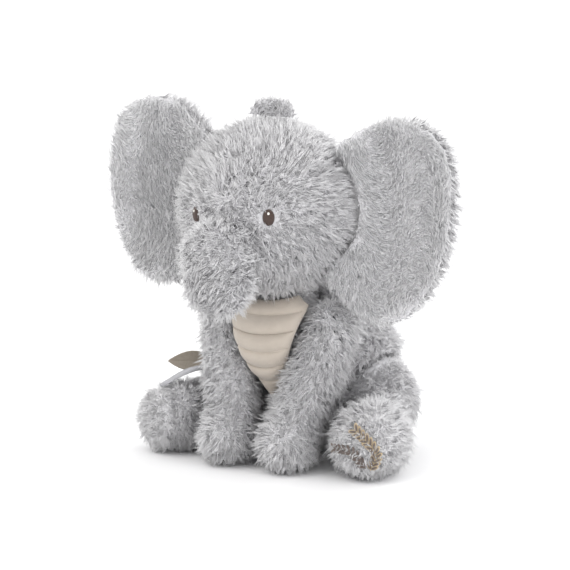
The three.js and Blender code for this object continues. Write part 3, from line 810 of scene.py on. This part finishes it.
def grow(name, body, patch, finish=fur, slot="grey_fur", **values):
    """Pile on a patch of skin, as one piece that rides on the body."""
    settings = {"Material": finish, "Density": 820000.0, **values}
    thing = run_tree(pile, name, patch, **settings)
    points = points_of(thing)
    points[:, 2] = np.maximum(points[:, 2], 0.0003)
    set_points(thing, points)
    thing.data.shade_smooth()
    under = np.zeros(len(points) * 3, np.float32)
    thing.data.attributes["up"].data.foreach_get("vector", under)
    soft = under.reshape(-1, 3) * 0.35 + normals_of(thing) * 0.65
    soft /= np.maximum(np.linalg.norm(soft, axis=1, keepdims=True), 1e-6)
    for old in ("swing", "clump", "up"):
        thing.data.attributes.remove(thing.data.attributes[old])
    thing.data.normals_split_custom_set_from_vertices(soft.tolist())
    dress(thing, body)
    print(name, triangles(thing), "triangles")
    return thing


# %% [markdown]
# ## Combing
# Each body has its own lie of the pile. On the head it spreads from the bridge between the eyes and
# stands round each eye like a small wreath. On the trunk it runs to the tip, on the legs and the
# torso it hangs down, and on the ears it runs to the rim.

# %% Comb directions
def flat_on(vectors, outward):
    """The part of each vector that lies in the surface, with length 1 or less."""
    flat = vectors - outward * np.sum(vectors * outward, axis=1, keepdims=True)
    return flat / np.maximum(np.linalg.norm(flat, axis=1, keepdims=True), 0.3)


def comb_body(thing, pull):
    """Stores comb on a skin: pull gives a direction for each point."""
    points, outward = points_of(thing), normals_of(thing)
    wave = np.stack([np.sin(points[:, 1] * 90), np.sin(points[:, 2] * 80), np.sin(points[:, 0] * 85)], 1)
    lie = flat_on(flat_on(pull(points), outward) + 0.5 * wave, outward)
    attribute(thing, "comb", "FLOAT_VECTOR", lie)


def head_lie(points):
    lie = points - bridge
    lie /= np.maximum(np.linalg.norm(lie, axis=1, keepdims=True), 1e-6)
    for eye in eyes.values():
        away = points - eye
        far = np.linalg.norm(away, axis=1, keepdims=True)
        lie += 4.0 * away / np.maximum(far, 1e-6) * np.exp(-(far / 0.012) ** 2)
    return lie


def hang(points):
    return np.tile([0.0, -0.15, -1.0], (len(points), 1))


comb_body(skins["head"], head_lie)
comb_body(skins["trunk"], lambda points: np.tile([0.0, -0.8, -0.5], (len(points), 1)))
comb_body(skins["torso"], hang)
comb_body(skins["tuft"], lambda points: np.tile([0.5, -0.1, 0.9], (len(points), 1)))
comb_body(skins["tail"], lambda points: np.tile([0.0, 1.0, -0.5], (len(points), 1)))
for side, sign in (("left", 1), ("right", -1)):
    for pair in ("front", "hind"):
        comb_body(skins[f"{side}_{pair}_leg"], hang)
    comb_body(skins[f"{side}_ear"], lambda points, s=sign: points - np.array([s * 0.05, -0.06, 0.168]))

# %% Bare cloth round the eyes
held = points_of(skins["head"])
bare = np.ones(len(held))
for eye in eyes.values():
    far = np.linalg.norm((held - eye) * [1, 0.7, 0.8], axis=1)
    bare *= np.clip((far - 0.0038) / 0.0045, 0, 1)
field = skins["head"].data.attributes["pile"]
kept = np.zeros(len(held), np.float32)
field.data.foreach_get("value", kept)
field.data.foreach_set("value", (kept * bare).astype(np.float32))
print("bare points round the eyes", int((bare < 0.5).sum()))


# %% Grow it
def patches(body, name, tests):
    """Cuts a skin into patches, so that no pile piece grows too large."""
    for label, test in tests.items():
        patch = bpy.data.objects.new("patch", skins[body].data.copy())
        bpy.context.scene.collection.objects.link(patch)
        keep_on(patch, test)
        yield f"{name}_{label}", patch
        bpy.data.objects.remove(patch)


def by_angle(centre, low, high):
    def test(points):
        angle = np.degrees(np.arctan2(points[:, 0] - centre[0], -(points[:, 1] - centre[1]))) % 360
        return (angle >= low) & (angle < high)
    return test


sectors = {
    "front_left": by_angle((0, -0.064), 0, 90), "back_left": by_angle((0, -0.064), 90, 180),
    "back_right": by_angle((0, -0.064), 180, 270), "front_right": by_angle((0, -0.064), 270, 360),
}
for seed, (name, patch) in enumerate(patches("head", "head_pile", sectors)):
    grow(name, "head", patch, Seed=20 + seed)
halves = {"left": by_angle((0, 0), 0, 180), "right": by_angle((0, 0), 180, 360)}
for seed, (name, patch) in enumerate(patches("torso", "torso_pile", halves)):
    grow(name, "torso", patch, Seed=30 + seed)
grow("trunk_pile", "trunk", skins["trunk"], Seed=40)
grow("tuft_pile", "tuft", skins["tuft"], Seed=41, Length=0.0030, Curl=0.0016)
grow("tail_pile", "tail", skins["tail"], Seed=42, Length=0.005)
for side in ("left", "right"):
    for pair in ("front", "hind"):
        body = f"{side}_{pair}_leg"
        grow(f"{body}_pile", body, skins[body], Seed=50 + len(body))
    grow(f"{side}_ear_back_pile", f"{side}_ear", skins[f"{side}_ear"], Seed=60, Length=0.0065)

# %% Skins ride on their bodies
# The skins take the backing colour, which is painted shade under the pile.
for body, thing in skins.items():
    thing.data.materials.clear()
    dress(thing, body, shaded_backing, covers[body][0])
print("skins stand for their covers")

# %% [markdown]
# ## The ear fronts
# The front of each ear is a smooth short-pile cloth, sewn round the rim to the curly back. The
# frame's front layer has the right outline and cup, so a merged copy is remeshed finely and rounded.
# Its nap is the same pile tree with short, straight, flat-combed locks.

# %% Ear fronts
for side, sign in (("left", 1), ("right", -1)):
    body, name = f"{side}_ear", f"{side}_ear_front"
    panel = modify(copy_of(f"{name}_panel", name), "REMESH", mode="VOXEL", voxel_size=0.0013)
    modify(panel, "SMOOTH", factor=0.5, iterations=6)
    outward = normals_of(panel)
    points = points_of(panel)
    gap = near(search_tree("head_cover"), points)
    ear_bend(panel)
    free = np.clip((-outward[:, 1] + 0.6) / 0.3, 0, 1)
    attribute(panel, "pile", "FLOAT", free * np.clip((gap - 0.001) / 0.004, 0, 1))
    comb_body(panel, lambda p, s=sign: p - np.array([s * 0.045, -0.06, 0.20]))
    grow(
        f"{name}_nap", body, panel, ear_nap, "smooth_grey_pile", Density=700000.0, Length=0.0056,
        Width=0.0010, Curl=0.0006, Lean=0.92, Disorder=0.22, Clump_pull=0.35, Segments=2, Seed=70,
    )
    dress(panel, body, velboa_and_sole_shade, name)
    print(name, "done")

# %% [markdown]
# ## The bib
# The bib is cream velour, quilted across into five soft rolls. It narrows to a rounded tip between
# the front legs. It is a grid laid on the chest: each row is a height, each column a share of the
# width, and the rolls are a rounded profile that drops to nothing at the sewn channels.

# %% The bib's shape
bib_top, bib_tip, bib_half = 0.1120, 0.0475, 0.0290
channels = [0.1030, 0.0905, 0.0790, 0.0680, 0.0580]


def bib_width(z):
    share = max((z - bib_tip) / (bib_top - bib_tip), 0.0)
    return min(bib_half * share ** 0.62, 0.0262 - 1.2 * max(0.0, z - 0.1060)) + 0.0012


def chest_front(x, z):
    """The front of the chest: two ellipsoids, the torso and the bust above it."""
    fronts = []
    for centre, half in (((0, 0, 0.051), (0.066, 0.058, 0.056)), ((0, -0.036, 0.088), (0.044, 0.042, 0.038))):
        room = 1 - (x / half[0]) ** 2 - ((z - centre[2]) / half[2]) ** 2
        if room > 0:
            fronts.append(centre[1] - half[1] * math.sqrt(room))
    smooth = 0.006
    return -smooth * math.log(sum(math.exp(-y / smooth) for y in fronts)) if fronts else -0.03


def bib_point(u, z, lift):
    sag = 0.0034 * (1 - u * u)
    x = u * bib_width(z)
    return Vector((x, chest_front(x, z) - lift, z - sag))


def roll(u, z):
    """How far the bib stands out: rounded between the channels, flat at its edge."""
    edges = sorted([bib_top + 0.002, *channels, bib_tip - 0.002])
    puffed = 0.0
    for low, high in zip(edges, edges[1:]):
        if low <= z <= high:
            share = (z - low) / (high - low)
            puffed = math.sin(math.pi * share) ** 0.45
    rim = max(0.0, 1 - abs(u) ** 6)
    return 0.0006 + 0.0038 * puffed * rim ** 0.5 + 0.0008 * rim


# %% The bib's mesh
rows, columns = 121, 37
grid, faces = [], []
for layer in (0, 1):
    for r in range(rows):
        z = bib_tip + (bib_top - bib_tip) * r / (rows - 1)
        for c in range(columns):
            u = -1 + 2 * c / (columns - 1)
            grid.append(bib_point(u, z, roll(u, z) if layer == 0 else -0.0012))
count = rows * columns
for r in range(rows - 1):
    for c in range(columns - 1):
        a = r * columns + c
        quad = (a, a + 1, a + columns + 1, a + columns)
        faces.append(quad)
        faces.append(tuple(v + count for v in reversed(quad)))
rim = [c for c in range(columns)] + [r * columns + columns - 1 for r in range(1, rows)]
rim += [(rows - 1) * columns + c for c in range(columns - 2, -1, -1)]
rim += [r * columns for r in range(rows - 2, 0, -1)]
for a, b in zip(rim, rim[1:] + rim[:1]):
    faces.append((a, a + count, b + count, b))
bib = mesh_object("bib", grid, faces)
dress(bib, "torso", velour, "bib_panel")
print("bib", len(bib.data.polygons), "faces")

# %% [markdown]
# ## Stitches
# A stitch is a short rounded thread that repeats along a line, so one small tree sets stitches on
# any curve: it measures the curve, places a thread at each step and turns it along the line.

# %% The stitch tree
stitch, into, out = new_group(
    "stitch_row", "GeometryNodeTree",
    [("Geometry", "NodeSocketGeometry", None), ("Step", FLOAT, 0.0024), ("Length", FLOAT, 0.0017),
     ("Thickness", FLOAT, 0.0004), ("Material", "NodeSocketMaterial", None)],
    [("Geometry", "NodeSocketGeometry")],
)
line = add(stitch, "GeometryNodeMeshToCurve", Mesh=into["Geometry"]).outputs[0]
stops = add(stitch, "GeometryNodeCurveToPoints", {"mode": "LENGTH"}, Curve=line, Length=into["Step"])
ball = add(stitch, "GeometryNodeMeshUVSphere", Segments=8, Rings=5, Radius=0.5).outputs["Mesh"]
size = add(stitch, "ShaderNodeCombineXYZ", i0=into["Thickness"], i1=into["Thickness"], i2=into["Length"])
threads = add(
    stitch, "GeometryNodeInstanceOnPoints", Points=stops.outputs["Points"], Instance=ball,
    Rotation=stops.outputs["Rotation"], Scale=size.outputs[0],
).outputs[0]
threads = add(stitch, "GeometryNodeRealizeInstances", Geometry=threads).outputs[0]
threads = add(stitch, "GeometryNodeSetMaterial", Geometry=threads, Material=into["Material"]).outputs[0]
stitch.links.new(threads, out["Geometry"])


def line_object(lines):
    """A mesh of edges only, one chain for each list of points."""
    data = bpy.data.meshes.new("line")
    points, edges = [], []
    for chain in lines:
        edges += [(len(points) + k, len(points) + k + 1) for k in range(len(chain) - 1)]
        points += [tuple(p) for p in chain]
    data.from_pydata(points, edges, [])
    return bpy.data.objects.new("line", data)


def sew(name, body, lines, finish, slot, **values):
    """Rows of stitches as one piece."""
    guide = line_object(lines)
    thing = run_tree(stitch, name, guide, Material=finish, **values)
    bpy.data.objects.remove(guide)
    thing.data.shade_smooth()
    dress(thing, body)
    print(name, len(thing.data.polygons), "faces")
    return thing


# %% Stitches in the bib's channels
# These darker stitches carry painted shade along the channels as well as the thread.
channel_lines = [
    [bib_point(u, z, 0.0016) for u in np.linspace(-0.93, 0.93, 25)] for z in channels
]
sew("bib_stitches", "torso", channel_lines, channel_thread_and_shade, "cream_velour")

# %% [markdown]
# ## The eyes
# Each eye is embroidered: a dark oval of satin stitch, slightly raised, with a small light patch
# near its top. A dome with an oval base, its threads laid across, gives that. The dome sits on the
# skin in its dent, so its place is the frame's eye, pushed to the skin's surface.

# %% Eyes
head_tree = BVHTree.FromObject(skins["head"], bpy.context.evaluated_depsgraph_get())


def dome(name, centre, outward, half, height, finish, rings=10, around=36):
    """A closed oval dome whose middle is at centre and whose back lies inside the skin."""
    out_axis = Vector(outward).normalized()
    across = Vector((0, 0, 1)).cross(out_axis).normalized()
    up = out_axis.cross(across)
    shape, faces = [], []
    for layer in (1, -0.5):
        for r in range(rings + 1):
            share = r / rings
            for k in range(around):
                angle = 2 * math.pi * k / around
                flat = across * (half[0] * share * math.cos(angle)) + up * (half[1] * share * math.sin(angle))
                lift = height * layer * (1 - share ** 2.6)
                bow = -0.5 * (flat.length ** 2) / 0.058
                shape.append(Vector(centre) + flat + out_axis * (lift + bow))
    step = (rings + 1) * around
    for layer in (0, 1):
        for r in range(rings):
            for k in range(around):
                a = layer * step + r * around + k
                b = layer * step + r * around + (k + 1) % around
                faces.append((a, b, b + around, a + around) if layer else (a, a + around, b + around, b))
    thing = mesh_object(name, shape, faces)
    dress(thing, "head", finish)
    return thing


for side, eye in eyes.items():
    spot, outward, _, _ = head_tree.find_nearest(Vector(eye))
    out_axis = Vector(outward).normalized()
    low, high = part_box(f"{side}_eye_highlight")
    glint = (low + high) / 2
    oval = dome(
        f"{side}_eye_oval", spot + out_axis * 0.0006, outward, (0.0037, 0.0052), 0.0013,
        dark_thread,
    )
    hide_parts(f"{side}_eye")
    lift = Vector((0, 0, glint.z - eye[2]))
    gleam = dome(
        f"{side}_eye_glint", spot + lift + out_axis * 0.0017, outward, (0.0009, 0.0011), 0.0005,
        white_thread, 5, 20,
    )
    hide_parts(f"{side}_eye_highlight")
    print(side, "eye at", [round(v * 1000) for v in spot])

# %% [markdown]
# ## The leaf tags
# Two cloth leaves are sewn in at the right hip: a tan woven one that stands up and a grey velour one
# that lies on the leg. The frame's leaves have the right outline, so a remeshed copy gets a midrib
# and a gentle cup. The leaf's own length, width and thickness directions come from its points.

# %% Leaves
for name, finish, bend in (("tan_leaf", tan_weave, 0.0016), ("grey_leaf", grey_velour, 0.0012)):
    leaf = modify(copy_of(f"{name}_cloth", name), "REMESH", mode="VOXEL", voxel_size=0.0006)
    modify(leaf, "SMOOTH", factor=0.5, iterations=3)
    points = points_of(leaf)
    centre = points.mean(0)
    axes = np.linalg.svd(points - centre, full_matrices=False)[2]
    along, across = (points - centre) @ axes[0], (points - centre) @ axes[1]
    rib = np.exp(-(across / 0.0007) ** 2)
    veins = 0.5 + 0.5 * np.cos((along + np.abs(across) * 0.9) / 0.0042 * 2 * math.pi)
    lift = bend * (across / 0.007) ** 2 - 0.0006 * rib - 0.00018 * veins
    points = points + axes[2] * lift[:, None]
    if name == "grey_leaf":
        droop = np.clip(np.abs(points[:, 0] - points[:, 0].max()) / 0.02, 0, 1)
        points[:, 2] += 0.55 * (points[:, 1] - centre[1]) * droop
    set_points(leaf, points)
    dress(leaf, "leaf_tags", finish, name)
    print(name, len(leaf.data.polygons), "faces")

# %% [markdown]
# ## The soles and their embroidery
# The hind soles are oval panels of the same plush, clipped a little shorter. The left one carries
# two embroidered sprigs. A leaflet of satin stitch repeats along each stem, so it is a small domed
# lens set by a tree along a curve, turned to each side in turn.

# %% Where the stems run
def on_sole(points, lift=2 * MM):
    """A smooth line through some places in mm on the left sole, lifted off its cloth."""
    points = [tuple(v * MM for v in place) for place in points]
    before, after = [points[0]] + points[:-2], points[2:] + [points[-1]]
    steps = []
    for a, b, c, d in zip(before, points[:-1], points[1:], after):
        for t in np.linspace(0, 1, 8, endpoint=False):
            p = [0.5 * (2 * q + (r - p0) * t + (2 * p0 - 5 * q + 4 * r - s) * t ** 2
                 + (3 * q - p0 - 3 * r + s) * t ** 3) for p0, q, r, s in zip(a, b, c, d)]
            steps.append(Vector(p))
    steps.append(Vector(points[-1]))
    return [p + sole_out * lift for p in steps]


sole_out = Vector((math.sin(math.radians(22)), -math.cos(math.radians(22)), 0))
dark_stem = on_sole([(63, -89.9, 22.1), (75.1, -91.7, 21.4), (81.4, -86.2, 11.6)])
tan_stem = on_sole([
    (76.7, -88.3, 34.1), (84.6, -87.3, 27.3), (88, -84.5, 19.6), (84, -83.2, 10),
])
print("stems", len(dark_stem), len(tan_stem))


# %% Sole panels
# Each sole's bare cloth gets the darker velboa colour as painted shade, since its flat face catches the
# light.
for side in ("left", "right"):
    body = f"{side}_hind_leg"
    sole = modify(copy_of(f"{body}_sole_panel", f"{body}_sole"), "REMESH", mode="VOXEL", voxel_size=0.001)
    modify(sole, "SMOOTH", factor=0.5, iterations=5)
    points, outward = points_of(sole), normals_of(sole)
    mirror = [1 if side == "left" else -1, 1, 1]
    facing = np.clip((outward @ (np.array(sole_out) * mirror) + 0.4) / 0.3, 0, 1)
    if side == "left":
        stem_points = np.array([tuple(p) for p in dark_stem + tan_stem])
        far = np.linalg.norm(points[:, None] - stem_points[None], axis=2).min(1)
        facing *= np.clip((far - 0.0012) / 0.0010, 0, 1)
    attribute(sole, "pile", "FLOAT", facing)
    comb_body(sole, hang)
    grow(
        f"{body}_sole_nap", body, sole, Density=1100000.0, Length=0.0044, Width=0.0010,
        Curl=0.0014, Lean=0.6, Seed=80,
    )
    dress(sole, body, velboa_and_sole_shade, f"{body}_sole")
print("two sole panels")

# %% The sprig tree
sprig, into, out = new_group(
    "leaflet_sprig", "GeometryNodeTree",
    [("Geometry", "NodeSocketGeometry", None), ("Step", FLOAT, 0.0028), ("Leaflet", FLOAT, 0.0045),
     ("Breadth", FLOAT, 0.0018), ("Rise", FLOAT, 0.0008), ("Splay", FLOAT, 0.9),
     ("Facing", VECTOR, (0, -1, 0)), ("Material", "NodeSocketMaterial", None)],
    [("Geometry", "NodeSocketGeometry")],
)
line = add(sprig, "GeometryNodeMeshToCurve", Mesh=into["Geometry"]).outputs[0]
stops = add(sprig, "GeometryNodeCurveToPoints", {"mode": "LENGTH"}, Curve=line, Length=into["Step"])
bead = add(sprig, "GeometryNodeMeshUVSphere", Segments=12, Rings=7, Radius=0.5).outputs["Mesh"]
bead = add(sprig, "GeometryNodeTransform", Geometry=bead, Translation=(0, 0, 0.5)).outputs[0]
size = add(sprig, "ShaderNodeCombineXYZ", i0=into["Breadth"], i1=into["Rise"], i2=into["Leaflet"])
both = []
for turn_to in (1, -1):
    side_way = add(
        sprig, "ShaderNodeVectorMath", {"operation": "CROSS_PRODUCT"}, i0=stops.outputs["Tangent"],
        i1=into["Facing"],
    ).outputs[0]
    splay = calc(sprig, "MULTIPLY", into["Splay"], float(turn_to))
    side_way = vector_calc(sprig, "SCALE", side_way, scale=splay)
    aim = vector_calc(sprig, "ADD", stops.outputs["Tangent"], side_way)
    turned = add(sprig, "FunctionNodeAxesToRotation", {"primary_axis": "Z", "secondary_axis": "Y"})
    sprig.links.new(aim, turned.inputs[0])
    sprig.links.new(into["Facing"], turned.inputs[1])
    both.append(add(
        sprig, "GeometryNodeInstanceOnPoints", Points=stops.outputs["Points"], Instance=bead,
        Rotation=turned.outputs[0], Scale=size.outputs[0],
    ).outputs[0])
joined = sprig.nodes.new("GeometryNodeJoinGeometry")
for part in both:
    sprig.links.new(part, joined.inputs[0])
leaflets = add(sprig, "GeometryNodeRealizeInstances", Geometry=joined.outputs[0]).outputs[0]
leaflets = add(sprig, "GeometryNodeSetMaterial", Geometry=leaflets, Material=into["Material"]).outputs[0]
sprig.links.new(leaflets, out["Geometry"])


# %% The two sprigs
def embroider(name, stem, finish, slot, **values):
    guide = line_object([stem])
    thing = run_tree(sprig, name, guide, Material=finish, Facing=tuple(sole_out), **values)
    bpy.data.objects.remove(guide)
    thing.data.shade_smooth()
    dress(thing, "left_hind_leg")
    return thing


dark = embroider("dark_leaflets", dark_stem[::-1], sprig_thread, "dark_thread", Leaflet=0.0050)
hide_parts("sole_dark_sprig")
tan = embroider(
    "tan_leaflets", tan_stem[::-1], tan_thread, "tan_thread", Leaflet=0.0056, Breadth=0.0025,
)
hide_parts("sole_tan_sprig")
over = [p + sole_out * 0.0004 for p in tan_stem[::-1]]
embroider("inner_leaflets", over, sprig_thread, "dark_thread", Leaflet=0.0046, Breadth=0.0014)
sew("dark_stem_stitches", "left_hind_leg", [dark_stem], sprig_thread, "dark_thread", Thickness=0.0008)
sew("tan_stem_stitches", "left_hind_leg", [over], tan_thread, "tan_thread", Thickness=0.0008)

# %% [markdown]
# ## The hidden parts
# Inside the covers are fibre stuffing, the neck pad and the pellet pouch. Loose fibre packs into
# soft lumps and pulls back from sharp corners, so a remeshed copy of each filling is rounded and
# made a little uneven. The pad and the pouch are sewn shapes that are right as they are.

# %% Stuffing
bodies = frame["record"]["behaviour"]["bodies"]
for name in [n for n in nodes if n.endswith("_stuffing")]:
    thing = copy_of(name.replace("stuffing", "fibre"), name)
    modify(thing, "REMESH", mode="VOXEL", voxel_size=0.0045)
    modify(thing, "SMOOTH", factor=0.5, iterations=6)
    points = points_of(thing)
    lumps = 0.0022 + 0.0008 * np.sin(points[:, 0] * 260) * np.sin(points[:, 1] * 240 + points[:, 2] * 220)
    set_points(thing, points - normals_of(thing) * lumps[:, None])
    body = next(b for b, parts in bodies.items() if name in parts)
    dress(thing, body, fibre, name)
    print(thing.name, triangles(thing), "triangles")

# %% Pouch and neck pad
# Every kept part except the pouch, the neck pad among them, takes the backing colour, which is painted shade.
for name, part in nodes.items():
    if part.hide_render:
        continue
    part.data.materials.clear()
    part.data.materials.append(pellet_cotton if name == "pellet_pouch" else shaded_backing)
    print("kept", name)

# %% [markdown]
# ## The floor
# The floor and the wall are one sheet with a wide bend. It is a stage, not a part of the toy.

# %% Floor
floor_grey, tree, skin = new_material("studio_paper", 0.9, 0.0, 0.1)
tone = two_colours(tree, use(tree, mottle, Size=3.0), (0.93, 0.93, 0.935), (0.96, 0.96, 0.96))
tree.links.new(tone, skin.inputs["Base Color"])
profile = [(-3.0, 0.0), (1.0, 0.0)]
for k in range(1, 13):
    angle = math.pi / 2 * k / 12
    profile.append((1.0 + 0.8 * math.sin(angle), 0.8 - 0.8 * math.cos(angle)))
profile.append((1.8, 3.0))
cos_t, sin_t = math.cos(turn), math.sin(turn)
sheet_points, sheet_faces = [], []
for depth, z in profile:
    for side in (-4.0, 4.0):
        sheet_points.append((side * cos_t - depth * sin_t, side * sin_t + depth * cos_t, z))
for k in range(len(profile) - 1):
    sheet_faces.append((2 * k, 2 * k + 1, 2 * k + 3, 2 * k + 2))
floor = mesh_object("studio_floor", sheet_points, sheet_faces)
floor.data.materials.append(floor_grey)
floor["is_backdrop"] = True
print("floor in place")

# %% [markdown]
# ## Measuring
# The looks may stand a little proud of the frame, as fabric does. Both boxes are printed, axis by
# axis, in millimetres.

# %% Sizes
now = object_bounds()
for axis in range(3):
    spans = [[round(box[k][axis] * 1000) for k in (0, 1)] for box in (cad_box, now)]
    print("xyz"[axis], *spans)
